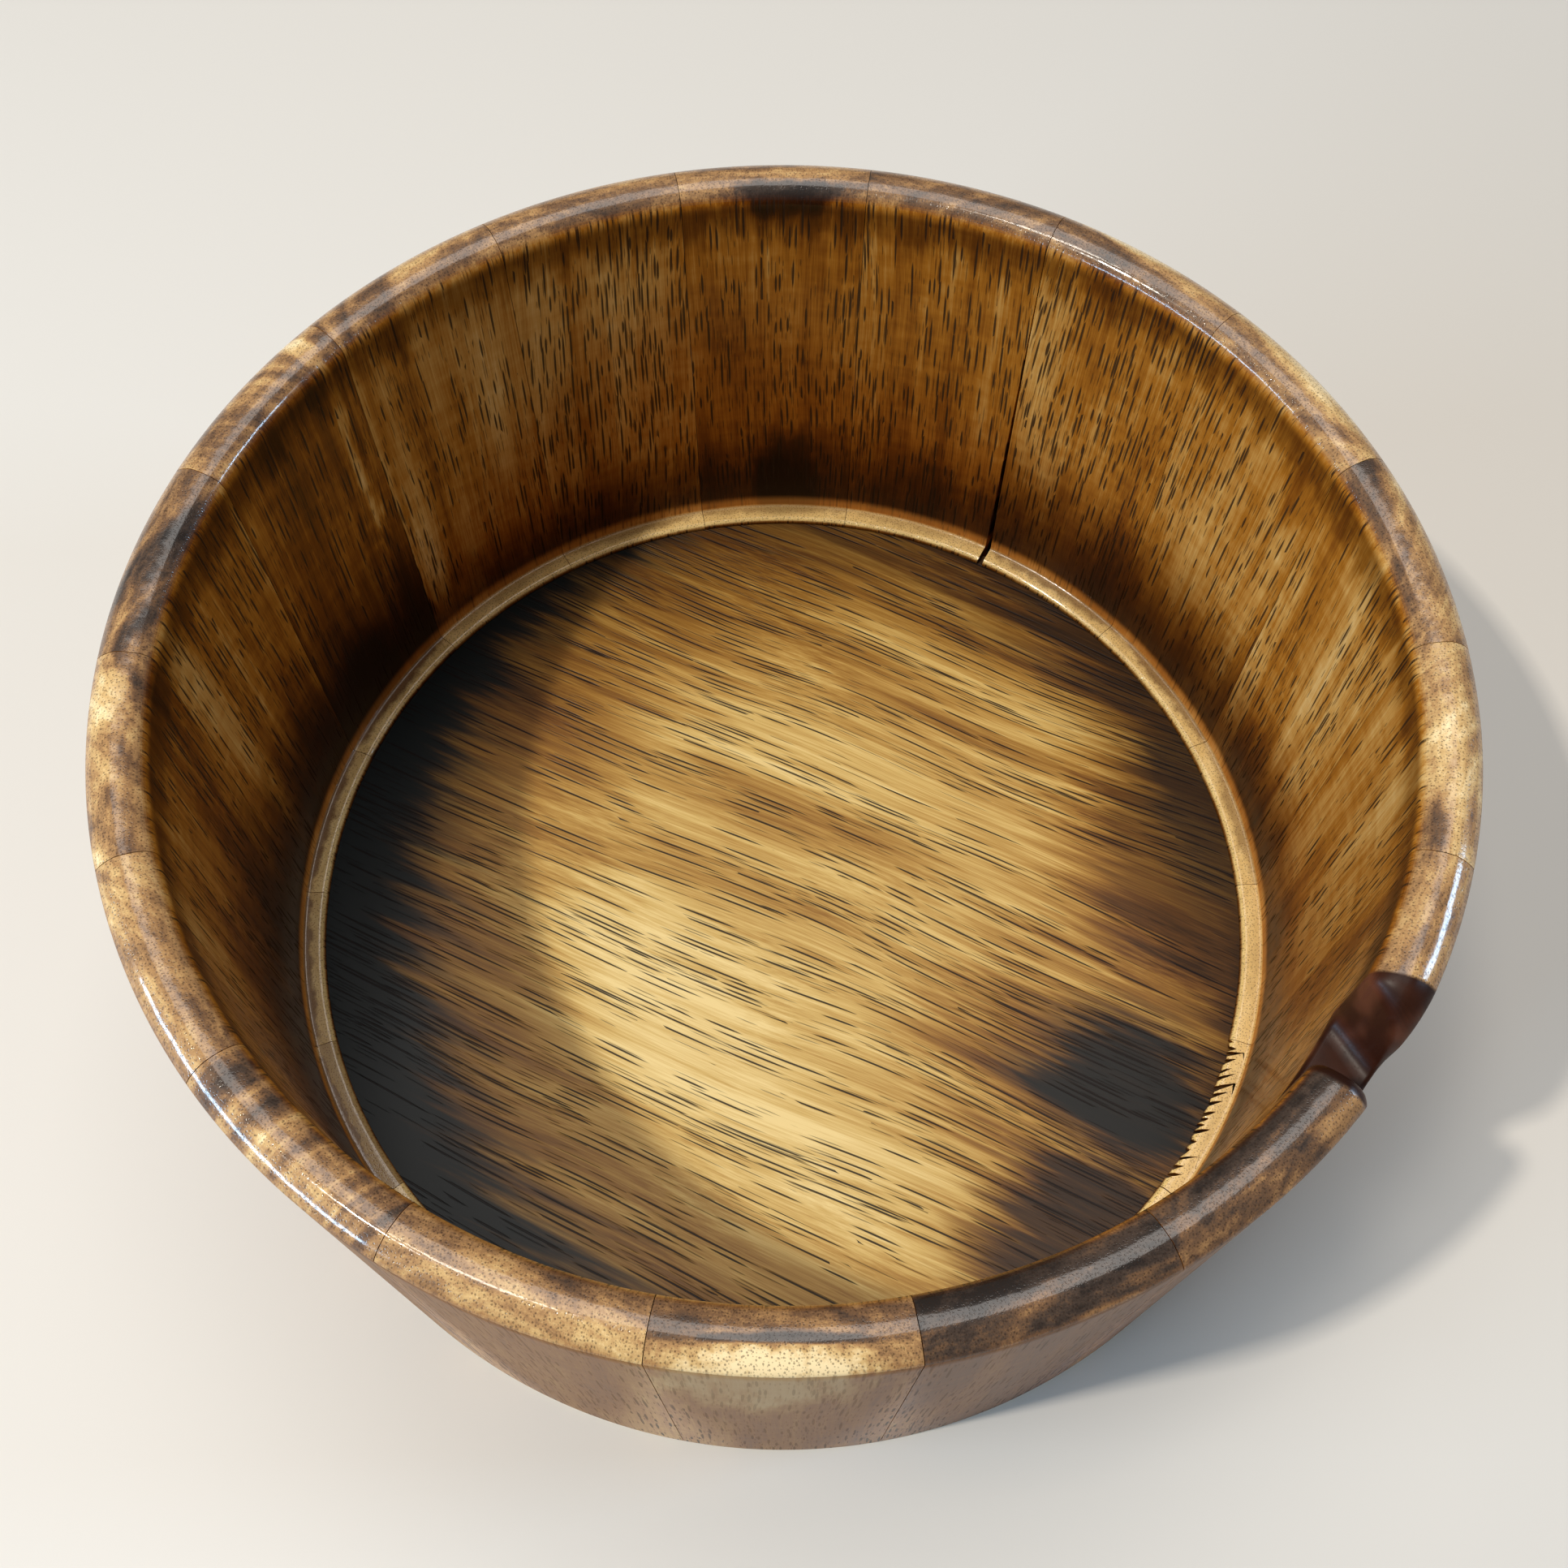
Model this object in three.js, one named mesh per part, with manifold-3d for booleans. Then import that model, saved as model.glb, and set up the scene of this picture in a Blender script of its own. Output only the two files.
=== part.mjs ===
// Stave-built wooden bowl: eighteen upright staves glued edge to edge and turned round,
// a floor board let in from below, and one notch through the rim.
// Millimetres, +Z up. The origin is at the centre of the underside, and +X points out
// through the notch.

import * as THREE from 'three';
import { mergeVertices } from 'three/addons/utils/BufferGeometryUtils.js';
import Module from 'manifold-3d';

const wasm = await Module();
wasm.setup();

// Driving dimensions

const RIM_RADIUS = 125;            // outer edge of the rim, the widest circle
const FOOT_RADIUS = 123.1;         // outer wall where it meets the table
const FOOT_CHAMFER = 0.8;
const RIM_EDGE_HEIGHT = 116.3;     // height of the outer edge of the rim
const RIDGE_RADIUS = 120.9;        // crest of the rounded rim
const RIDGE_HEIGHT = 119.1;
const MOUTH_RADIUS = 114.5;        // inner wall just below the rim
const MOUTH_HEIGHT = 114.6;        // where the inner rounding of the rim starts
const WELL_RADIUS = 113.1;         // inner wall just above the shoulder

const SHOULDER_HEIGHT = 12.1;      // top of the ring of end grain round the floor
const SHOULDER_INNER_RADIUS = 108.1;
const SHOULDER_ROUND = 1.5;
const WALL_FILLET = 0.8;           // between the shoulder and the inner wall

const FLOOR_HEIGHT = 10.3;         // top of the floor board
const FLOOR_RADIUS = 110.9;
const FIT_GAP = 0.2;               // glue gap round and above the floor board
const GLUE_GAP = 0.2;              // glue line between two staves

// Share of the circle that each stave takes, in degrees, counted from the joint beside the
// notch. The staves were cut and jointed by hand, so their widths differ a little.
const STAVE_WIDTHS = [
  20.6, 20.7, 20.2, 20.3, 20.0, 20.0, 19.8, 19.9, 20.1,
  19.4, 19.9, 19.8, 19.8, 19.9, 20.3, 19.3, 19.5, 20.5,
];
const FIRST_JOINT = -3.3;          // degrees from the X axis, which runs out through the notch

// The notch is drawn at two sections, at these distances out along X. Its far side slants:
// it stands further from the near side at the inner section than at the outer one.
const NOTCH_SECTIONS = [113, 125.2];
const NOTCH_NEAR_SIDE = -8.9;      // upright side of the notch, across the notch
const NOTCH_NEAR_SHOULDER = 2.4;   // rounding between it and the rim
const NOTCH_FAR_SIDE = [8.8, 3.6]; // upright part of the far side, at each section
const NOTCH_FAR_SHOULDER = [1, 10];
const NOTCH_FLOOR_HEIGHT = 97.5;
const NOTCH_FLOOR_ROUND = 4;       // hollow corner under the far side
const NOTCH_NEAR_ROUND = 1.5;      // hollow corner under the near side

const RING_SEGMENTS = 90;
const ARC_STEPS = 4;

// Materials

const staveTones = [0x9a6a35, 0x7c5029, 0xb07f45];
const floorTone = 0xb98a48;

function woodMaterial(color) {
  return new THREE.MeshStandardMaterial({ color, roughness: 0.35, metalness: 0 });
}

// Outlines

const rad = THREE.MathUtils.degToRad;

// Points of a circular arc about a centre, both ends included.
function arc(cx, cy, radius, startDeg, endDeg, steps = ARC_STEPS) {
  const points = [];
  for (let i = 0; i <= steps; i += 1) {
    const angle = rad(startDeg + ((endDeg - startDeg) * i) / steps);
    points.push(new THREE.Vector2(cx + radius * Math.cos(angle), cy + radius * Math.sin(angle)));
  }
  return points;
}

// Points on a quadratic curve from one point to another, both ends left out.
function crown(from, control, to, steps) {
  const curve = new THREE.QuadraticBezierCurve(from, control, to);
  return curve.getPoints(steps).slice(1, -1);
}

// Half-section of the ring of staves, radius against height, closed on itself.
function staveSection() {
  const edge = new THREE.Vector2(RIM_RADIUS, RIM_EDGE_HEIGHT);
  const ridge = new THREE.Vector2(RIDGE_RADIUS, RIDGE_HEIGHT);
  const mouth = new THREE.Vector2(MOUTH_RADIUS, MOUTH_HEIGHT);
  const outerControl = new THREE.Vector2(RIM_RADIUS - 1.2, RIDGE_HEIGHT - 1.0);
  const innerControl = new THREE.Vector2(MOUTH_RADIUS, RIDGE_HEIGHT);
  const rabbetRadius = FLOOR_RADIUS + FIT_GAP;
  const rabbetHeight = FLOOR_HEIGHT + FIT_GAP;
  const roundRadius = SHOULDER_INNER_RADIUS + SHOULDER_ROUND;
  const roundHeight = SHOULDER_HEIGHT - SHOULDER_ROUND;
  return [
    new THREE.Vector2(rabbetRadius, 0),
    new THREE.Vector2(FOOT_RADIUS - FOOT_CHAMFER, 0),
    new THREE.Vector2(FOOT_RADIUS, FOOT_CHAMFER),
    edge,
    ...crown(edge, outerControl, ridge, ARC_STEPS),
    ridge,
    ...crown(ridge, innerControl, mouth, 2 * ARC_STEPS),
    mouth,
    new THREE.Vector2(WELL_RADIUS, SHOULDER_HEIGHT + WALL_FILLET),
    new THREE.Vector2(WELL_RADIUS - WALL_FILLET, SHOULDER_HEIGHT),
    ...arc(roundRadius, roundHeight, SHOULDER_ROUND, 90, 180),
    new THREE.Vector2(SHOULDER_INNER_RADIUS, rabbetHeight),
    new THREE.Vector2(rabbetRadius, rabbetHeight),
    new THREE.Vector2(rabbetRadius, 0),
  ];
}

// Outline of the notch at one section, across the notch against height.
function notchOutline(far, farShoulder) {
  const top = RIDGE_HEIGHT + 10;
  const floor = NOTCH_FLOOR_HEIGHT;
  const near = NOTCH_NEAR_SIDE;
  const nearShoulder = NOTCH_NEAR_SHOULDER;
  const hollow = NOTCH_FLOOR_ROUND;
  const nearHollow = NOTCH_NEAR_ROUND;
  const nearStart = near - nearShoulder;
  const farEnd = far + farShoulder;
  return [
    new THREE.Vector2(nearStart, top),
    ...arc(nearStart, RIDGE_HEIGHT - nearShoulder, nearShoulder, 90, 0),
    ...arc(near + nearHollow, floor + nearHollow, nearHollow, 180, 270),
    ...arc(far - hollow, floor + hollow, hollow, 270, 360),
    ...arc(farEnd, RIDGE_HEIGHT - farShoulder, farShoulder, 180, 90),
    new THREE.Vector2(farEnd, top),
  ];
}

// Solids

function toSolid(geometry) {
  const bare = geometry.clone();
  bare.deleteAttribute('normal');
  bare.deleteAttribute('uv');
  const merged = mergeVertices(bare, 1e-4);
  return new wasm.Manifold(new wasm.Mesh({
    numProp: 3,
    vertProperties: new Float32Array(merged.attributes.position.array),
    triVerts: new Uint32Array(merged.index.array),
  }));
}

function toGeometry(solid) {
  const mesh = solid.getMesh();
  const geometry = new THREE.BufferGeometry();
  geometry.setAttribute('position', new THREE.BufferAttribute(mesh.vertProperties, 3));
  geometry.setIndex(new THREE.BufferAttribute(mesh.triVerts, 1));
  geometry.computeVertexNormals();
  return geometry;
}

// LatheGeometry turns its outline about Y, so the result is stood up along Z.
function turned(outline) {
  return new THREE.LatheGeometry(outline, RING_SEGMENTS).rotateX(Math.PI / 2);
}

// The wedge of space between two joints, less half a glue line at each side.
function staveWedge(startDeg, endDeg) {
  const reach = RIM_RADIUS * 1.2;
  const corner = (deg, radius, side) => new THREE.Vector2(
    radius * Math.cos(rad(deg)) - side * (GLUE_GAP / 2) * Math.sin(rad(deg)),
    radius * Math.sin(rad(deg)) + side * (GLUE_GAP / 2) * Math.cos(rad(deg)),
  );
  const outline = new THREE.Shape([
    corner(startDeg, RIM_RADIUS / 2, 1),
    corner(startDeg, reach, 1),
    corner(endDeg, reach, -1),
    corner(endDeg, RIM_RADIUS / 2, -1),
  ]);
  const height = RIDGE_HEIGHT + 20;
  const wedge = new THREE.ExtrudeGeometry(outline, { depth: height, bevelEnabled: false });
  return wedge.translate(0, 0, -10);
}

// Solid between two outlines with as many points each, drawn across and up at two
// distances out along X.
function lofted(outlines, distances) {
  const count = outlines[0].length;
  const corners = outlines.flatMap((outline, end) => (
    outline.flatMap((point) => [distances[end], point.x, point.y])
  ));
  const index = [];
  for (const [a, b, c] of THREE.ShapeUtils.triangulateShape(outlines[0], [])) {
    index.push(c, b, a);
  }
  for (const [a, b, c] of THREE.ShapeUtils.triangulateShape(outlines[1], [])) {
    index.push(a + count, b + count, c + count);
  }
  for (let i = 0; i < count; i += 1) {
    const next = (i + 1) % count;
    index.push(i, next, next + count, i, next + count, i + count);
  }
  const geometry = new THREE.BufferGeometry();
  geometry.setAttribute('position', new THREE.Float32BufferAttribute(corners, 3));
  geometry.setIndex(index);
  return geometry;
}

function notchCutter() {
  const outlines = NOTCH_SECTIONS.map((_, end) => (
    notchOutline(NOTCH_FAR_SIDE[end], NOTCH_FAR_SHOULDER[end])
  ));
  return lofted(outlines, NOTCH_SECTIONS);
}

// Pieces

function staves() {
  const ring = toSolid(turned(staveSection())).subtract(toSolid(notchCutter()));
  const pieces = [];
  let start = FIRST_JOINT;
  STAVE_WIDTHS.forEach((width, index) => {
    const solid = ring.intersect(toSolid(staveWedge(start, start + width)));
    const tone = staveTones[(index * 5) % staveTones.length];
    const piece = new THREE.Mesh(toGeometry(solid), woodMaterial(tone));
    piece.name = `stave_${String(index + 1).padStart(2, '0')}`;
    pieces.push(piece);
    start += width;
  });
  return pieces;
}

function floorBoard() {
  const outline = [
    new THREE.Vector2(0, 0),
    new THREE.Vector2(FLOOR_RADIUS, 0),
    new THREE.Vector2(FLOOR_RADIUS, FLOOR_HEIGHT),
    new THREE.Vector2(0, FLOOR_HEIGHT),
  ];
  const piece = new THREE.Mesh(turned(outline), woodMaterial(floorTone));
  piece.name = 'floor_board';
  return piece;
}

const group = new THREE.Group();
group.name = 'stave_bowl';
group.add(...staves(), floorBoard());

export default group;
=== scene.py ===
"""Looks of a stave-built wooden bowl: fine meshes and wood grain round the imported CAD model."""
import math
import random

import bpy
import numpy as np
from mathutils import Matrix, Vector


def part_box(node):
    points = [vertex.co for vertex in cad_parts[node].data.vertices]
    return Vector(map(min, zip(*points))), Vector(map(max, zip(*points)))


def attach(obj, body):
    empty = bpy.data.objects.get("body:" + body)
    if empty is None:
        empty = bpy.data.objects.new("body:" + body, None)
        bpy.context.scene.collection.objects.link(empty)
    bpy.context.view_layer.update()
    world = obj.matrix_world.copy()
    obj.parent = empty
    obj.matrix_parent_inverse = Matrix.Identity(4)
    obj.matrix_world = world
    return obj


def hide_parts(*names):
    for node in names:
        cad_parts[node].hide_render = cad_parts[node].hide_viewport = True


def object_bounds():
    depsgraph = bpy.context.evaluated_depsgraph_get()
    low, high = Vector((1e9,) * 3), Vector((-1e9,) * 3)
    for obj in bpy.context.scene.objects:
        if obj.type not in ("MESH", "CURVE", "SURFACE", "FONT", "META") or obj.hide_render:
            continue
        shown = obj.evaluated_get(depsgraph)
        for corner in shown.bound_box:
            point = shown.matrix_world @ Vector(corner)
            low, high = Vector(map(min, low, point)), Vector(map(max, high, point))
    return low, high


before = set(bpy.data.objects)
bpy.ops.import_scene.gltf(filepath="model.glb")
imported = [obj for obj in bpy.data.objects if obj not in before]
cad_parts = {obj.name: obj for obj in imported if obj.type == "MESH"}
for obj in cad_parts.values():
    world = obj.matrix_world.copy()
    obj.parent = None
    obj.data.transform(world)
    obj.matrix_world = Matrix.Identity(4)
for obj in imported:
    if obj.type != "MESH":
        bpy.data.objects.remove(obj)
cad_low, cad_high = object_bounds()

# Driving dimensions in millimetres, along the CAD model's own axes: Z up the bowl's axis,
# X out through the notch. Radii are from the axis, heights from the table.

MM = 0.001
INSET = 0.3             # how far the visual rim stays inside that of the CAD model
floor_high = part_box("floor_board")[1]
RIM_RADIUS = -cad_low.x / MM - INSET
RIDGE_HEIGHT = cad_high.z / MM
FLOOR_HEIGHT = floor_high.z / MM
FLOOR_RADIUS = floor_high.y / MM

FOOT_RADIUS = RIM_RADIUS - 1.9
FOOT_CHAMFER = 0.8
RIM_EDGE_HEIGHT = RIDGE_HEIGHT - 2.8
RIDGE_RADIUS = RIM_RADIUS - 4.1
MOUTH_RADIUS = RIM_RADIUS - 10.5
MOUTH_HEIGHT = RIDGE_HEIGHT - 4.5
WELL_RADIUS = MOUTH_RADIUS - 1.4
RING_HEIGHT = FLOOR_HEIGHT + 1.8
RING_RADIUS = WELL_RADIUS - 5.0
RING_ROUND = 1.5
WALL_FILLET = 0.8
FIT_GAP = 0.2
MID_RADIUS = (MOUTH_RADIUS + RIM_RADIUS) / 2

STAVE_WIDTHS = [
    20.6, 20.7, 20.2, 20.3, 20.0, 20.0, 19.8, 19.9, 20.1,
    19.4, 19.9, 19.8, 19.8, 19.9, 20.3, 19.3, 19.5, 20.5,
]
FIRST_JOINT = -3.3
GLUE_LINE = 0.14
COLUMN_PITCH = 1.0
FINE_PITCH = 0.2
TORN_STAVE = 0          # the stave whose ring is torn, counted from 0
NOTCHED_STAVES = (0, 17)

NOTCH_RADIUS = 120.0
NOTCH_FLOOR = RIDGE_HEIGHT - 21.6
NOTCH_ARRIS = 1.0
NOTCH_SPLIT = NOTCH_FLOOR - 6
NOTCH_APPROACH = 3.0


# Outlines

def quadratic(start, control, end, steps):
    """Points on a quadratic curve, both ends included, as an array of rows."""
    t = np.linspace(0, 1, steps + 1)[:, None]
    start, control, end = (np.array(p, float) for p in (start, control, end))
    return (1 - t) ** 2 * start + 2 * t * (1 - t) * control + t ** 2 * end


def arc(centre, radius, first, last, steps):
    """Points on a circular arc, both ends included, angles in degrees."""
    angle = np.radians(np.linspace(first, last, steps + 1))
    return np.array(centre) + radius * np.stack([np.cos(angle), np.sin(angle)], 1)


def wall_radius(height, outside):
    """Radius of the inner or outer wall at a height, straight from foot to rim."""
    low, high = (FOOT_CHAMFER, RIM_EDGE_HEIGHT) if outside else (RING_HEIGHT, MOUTH_HEIGHT)
    small, large = (FOOT_RADIUS, RIM_RADIUS) if outside else (WELL_RADIUS, MOUTH_RADIUS)
    share = np.clip((height - low) / (high - low), 0, 1)
    return small + share * (large - small)


def rim_crown():
    """The rounded rim from the inner wall to the outer edge, radius against height."""
    mouth = (MOUTH_RADIUS, MOUTH_HEIGHT)
    ridge = (RIDGE_RADIUS, RIDGE_HEIGHT)
    edge = (RIM_RADIUS, RIM_EDGE_HEIGHT)
    inner = quadratic(mouth, (MOUTH_RADIUS, RIDGE_HEIGHT), ridge, 14)
    outer = quadratic(ridge, (RIM_RADIUS - 1.2, RIDGE_HEIGHT - 1), edge, 10)
    return np.concatenate([inner, outer[1:]])


CROWN = rim_crown()
CROWN_SHARE = (CROWN[:, 0] - MOUTH_RADIUS) / (RIM_RADIUS - MOUTH_RADIUS)
CROWN_DROP = RIDGE_HEIGHT - CROWN[:, 1]


def notch_crown():
    """Share across the wall and drop of the notch's surface, with both arrises rounded."""
    steps = 8
    flat = len(CROWN) - 2 * steps - 2
    angle = np.linspace(0, math.pi / 2, steps + 1)
    thickness = RIM_RADIUS - MOUTH_RADIUS
    inner = NOTCH_ARRIS * (1 - np.cos(angle)) / thickness
    middle = np.linspace(inner[-1], 1 - inner[-1], flat + 2)[1:-1]
    drop = NOTCH_ARRIS * (1 - np.sin(angle))
    share = np.concatenate([inner, middle, 1 - inner[::-1]])
    return share, np.concatenate([drop, np.zeros(flat), drop[::-1]])


NOTCH_SHARE, NOTCH_DROP = notch_crown()


# The notch's two sides, in millimetres across the X axis: its upright face and the round of
# its shoulder at the inner and at the outer wall, and the hollow corner at the floor.
NEAR_SIDE = {"side": -1, "face": (-8.9, -8.9), "shoulder": (2.4, 2.4), "hollow": 1.5}
FAR_SIDE = {"side": 1, "face": (8.3, 3.8), "shoulder": (1.6, 9.0), "hollow": 4.0}


def across_wall(ends, share):
    """Between a value at the inner wall and one at the outer wall."""
    return ends[0] + share * (ends[1] - ends[0])


def face_place(face, share):
    """Where an upright face of the notch stands, as places round the wall."""
    radius = MOUTH_RADIUS + share * (RIM_RADIUS - MOUTH_RADIUS)
    return NOTCH_RADIUS * np.arcsin(across_wall(face, share) / radius)


def foot_outline():
    """From the foot of the outer wall under the stave, up the rabbet and over the ring."""
    rabbet = FLOOR_RADIUS + FIT_GAP
    under_ring = FLOOR_HEIGHT + FIT_GAP
    crest = arc((RING_RADIUS + RING_ROUND, RING_HEIGHT - RING_ROUND), RING_ROUND, 180, 90, 8)
    fillet_centre = (WELL_RADIUS - WALL_FILLET, RING_HEIGHT + WALL_FILLET)
    fillet = arc(fillet_centre, WALL_FILLET, 270, 360, 5)
    return np.concatenate([
        [(FOOT_RADIUS - FOOT_CHAMFER, 0), (rabbet, 0), (rabbet, under_ring)],
        [(RING_RADIUS, under_ring)],
        crest,
        np.linspace(crest[-1], fillet[0], 5)[1:-1],
        fillet,
    ])


FOOT = foot_outline()
INNER_ROWS = 20
OUTER_ROWS = 14


# Columns: upright lines through the wall. Each holds the place where it stands and the
# line that it follows over the top of the wall. Places are lengths round the wall at
# NOTCH_RADIUS, counted from the X axis.

def column(place, top_place, top_height, share):
    return {"place": place, "top_place": top_place, "top_height": top_height, "share": share}


def rim_column(place):
    top_place = np.full(len(CROWN), place)
    return column(place, top_place, RIDGE_HEIGHT - CROWN_DROP, CROWN_SHARE)


def notch_floor_column(top_place):
    return column(top_place.mean(), top_place, NOTCH_FLOOR - NOTCH_DROP, NOTCH_SHARE)


def notch_start(side, face, shoulder, hollow):
    """Place where the plain rim begins beside the notch."""
    ends = np.array([0.0, 1.0])
    reach = (side * face_place(face, ends) + across_wall(shoulder, ends)).max()
    return side * (reach + NOTCH_ARRIS + NOTCH_APPROACH)


def notch_side_columns(side, face, shoulder, hollow):
    """Columns round the shoulder, down the face and through the hollow corner."""
    found = []
    round_off = across_wall(shoulder, CROWN_SHARE)
    for angle in np.radians(np.linspace(90, 0, 12)):
        reach = NOTCH_DROP + round_off * (1 - math.cos(angle))
        top = RIDGE_HEIGHT - CROWN_DROP - round_off * (1 - math.sin(angle))
        found.append(column(0, face_place(face, CROWN_SHARE) + side * reach, top, CROWN_SHARE))
    highest = RIDGE_HEIGHT - CROWN_DROP - round_off
    for step in np.linspace(0, 1, 13)[1:]:
        top = (1 - step) * highest + step * (NOTCH_FLOOR + hollow)
        share = (1 - step) * CROWN_SHARE + step * NOTCH_SHARE
        found.append(column(0, face_place(face, share) + side * NOTCH_DROP, top, share))
    foot = face_place(face, NOTCH_SHARE)
    start = notch_start(side, face, shoulder, hollow)
    boundary = foot.mean() + side * NOTCH_ARRIS
    for index, item in enumerate(found):
        item["place"] = start + (boundary - start) * (index + 1) / len(found)
    for angle in np.radians(np.linspace(0, 90, 9))[1:]:
        reach = hollow + NOTCH_DROP
        top_place = foot - side * (hollow - reach * math.cos(angle))
        top = NOTCH_FLOOR + hollow - reach * math.sin(angle)
        found.append(column(top_place.mean(), top_place, top, NOTCH_SHARE))
    return found


def spaced(first, last, pitch):
    """Places from first to last, both included, about a pitch apart."""
    count = max(1, round((last - first) / pitch))
    return list(np.linspace(first, last, count + 1))


def floor_columns(first, last, count):
    """Columns across the notch's floor, from one line across the wall to another."""
    steps = np.linspace(0, 1, count + 1)
    return [notch_floor_column(first + step * (last - first)) for step in steps]


def stave_columns(first, last, pitch):
    """All the columns of one stave, in order, from joint to joint."""
    near, far = notch_start(**NEAR_SIDE), notch_start(**FAR_SIDE)
    if last <= near or first >= far:
        return [rim_column(p) for p in spaced(first, last, pitch)]
    line = np.ones(len(CROWN))
    if last < 0:
        near_floor = face_place(NEAR_SIDE["face"], NOTCH_SHARE) + NEAR_SIDE["hollow"]
        rim = [rim_column(p) for p in spaced(first, near, pitch)]
        floor = floor_columns(near_floor, last * line, 2)
        return rim + notch_side_columns(**NEAR_SIDE) + floor[1:]
    far_floor = face_place(FAR_SIDE["face"], NOTCH_SHARE) - FAR_SIDE["hollow"]
    floor = floor_columns(first * line, far_floor, 24)
    rim = [rim_column(p) for p in spaced(far, last, pitch)]
    return floor[:-1] + notch_side_columns(**FAR_SIDE)[::-1] + rim


def wall_rows(item, outside):
    """Points of one wall of a column, from the ring or the foot up to the crown."""
    index = -1 if outside else 0
    low = FOOT_CHAMFER if outside else RING_HEIGHT + WALL_FILLET
    rows = OUTER_ROWS if outside else INNER_ROWS
    split = rows * 2 // 3
    place, height = item["top_place"][index], item["top_height"][index]
    heights = np.linspace(low, NOTCH_SPLIT, split)
    places = np.full(split, item["place"])
    share = np.linspace(0, 1, rows - split + 1)[1:]
    heights = np.concatenate([heights, NOTCH_SPLIT + share * (height - NOTCH_SPLIT)])
    places = np.concatenate([places, item["place"] + share * (place - item["place"])])
    return np.stack([places, wall_radius(heights, outside), heights], 1)


def column_points(item):
    """The closed loop of a column's points: place, radius and height of each."""
    inner = wall_rows(item, False)
    outer = wall_rows(item, True)[::-1]
    low, high = wall_radius(item["top_height"], False), wall_radius(item["top_height"], True)
    crown_radius = low + item["share"] * (high - low)
    crown = np.stack([item["top_place"], crown_radius, item["top_height"]], 1)
    foot = np.column_stack([np.full(len(FOOT), item["place"]), FOOT])
    return np.concatenate([inner, crown[1:-1], outer, foot[:-1]])


# Flaws of the real bowl: open joints, and torn grain on the ring

def crack_width(height, spec):
    """Opening of a joint at the inner wall, in millimetres, at each height."""
    return np.interp(height, [h for h, _ in spec], [w for _, w in spec])


def open_joint(points, centre, half, spec):
    """Pulls one side of a stave back from a joint that has come open on the inside."""
    depth = np.clip((RIM_RADIUS - 3 - points[..., 1]) / 9, 0, 1)
    near = np.clip(1 - np.abs(points[..., 0] - centre) / 2.5, 0, 1)
    points[..., 0] += half * 0.5 * crack_width(points[..., 2], spec) * depth * near
    return points


def torn_edge(places, rng):
    """How far the ring's inner edge is torn back at each place."""
    back = 0.25 + 0.2 * np.sin(places / 2.3) + 0.15 * np.sin(places * 1.9)
    centre = places.min()
    while centre < places.max():
        depth = rng.uniform(1.6, 4.4)
        half = rng.uniform(0.35, 0.75)
        tooth = depth * np.clip(1 - np.abs(places - centre) / half, 0, 1) ** 0.6
        back = np.maximum(back, tooth)
        centre += rng.uniform(1.6, 3.2)
    return np.clip(back, 0, None)


def tear_ring(points, rng):
    """Ragged end grain along the ring's inner edge, slanting as it runs in."""
    places = points[:, 0, 0]
    gap = places.max() - places
    fade = np.clip((places - places.min()) / 2, 0, 1) * np.clip(gap / 2, 0, 1)
    edge = RING_RADIUS + torn_edge(places, rng)[:, None] * fade[:, None]
    on_ring = (points[..., 1] < RING_RADIUS + 4) & (points[..., 2] > FLOOR_HEIGHT)
    on_ring &= points[..., 2] < RING_HEIGHT + 0.01
    pushed = np.where(on_ring, np.maximum(points[..., 1], edge), points[..., 1])
    lean = 0.9 * fade * np.clip(gap / 8, 0, 1)
    slant = np.clip(pushed - RING_RADIUS, 0, 4) * lean[:, None]
    points[..., 0] += np.where(on_ring, slant, 0)
    points[..., 1] = pushed
    return points


# Meshes

def add_object(name, vertices, faces, sharp_degrees):
    mesh = bpy.data.meshes.new(name)
    mesh.from_pydata([tuple(v) for v in vertices * MM], [], faces)
    mesh.update()
    mesh.polygons.foreach_set("use_smooth", [True] * len(mesh.polygons))
    mesh.set_sharp_from_angle(angle=math.radians(sharp_degrees))
    piece = bpy.data.objects.new(name, mesh)
    bpy.context.scene.collection.objects.link(piece)
    return piece


def stave_mesh(name, points):
    """A closed mesh from rows of columns, with both joint faces filled in."""
    columns, loop = points.shape[:2]
    angle = points[..., 0] / NOTCH_RADIUS
    vertices = np.stack([
        points[..., 1] * np.cos(angle),
        points[..., 1] * np.sin(angle),
        points[..., 2],
    ], -1).reshape(-1, 3)
    faces = []
    for c in range(columns - 1):
        for k in range(loop):
            here, beyond = c * loop + k, c * loop + (k + 1) % loop
            faces.append((here, here + loop, beyond + loop, beyond))
    faces.append(tuple(range(loop)))
    faces.append(tuple(range(columns * loop - 1, (columns - 1) * loop - 1, -1)))
    return add_object(name, vertices, faces, 40)


def place_of(degrees):
    return math.radians(degrees) * NOTCH_RADIUS


TEAR_SEED = 11

# Joints open on the inside, each named by the stave that starts at it, counted from 0:
# pairs of a height and the opening there, in millimetres.
OPEN_JOINTS = {
    5: ((12, 1.5), (30, 1.0), (60, 0.55), (90, 0.2), (112, 0.0)),
    0: ((12, 0.1), (40, 0.12), (66, 0.35), (86, 0.6), (97, 0.25)),
}


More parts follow.
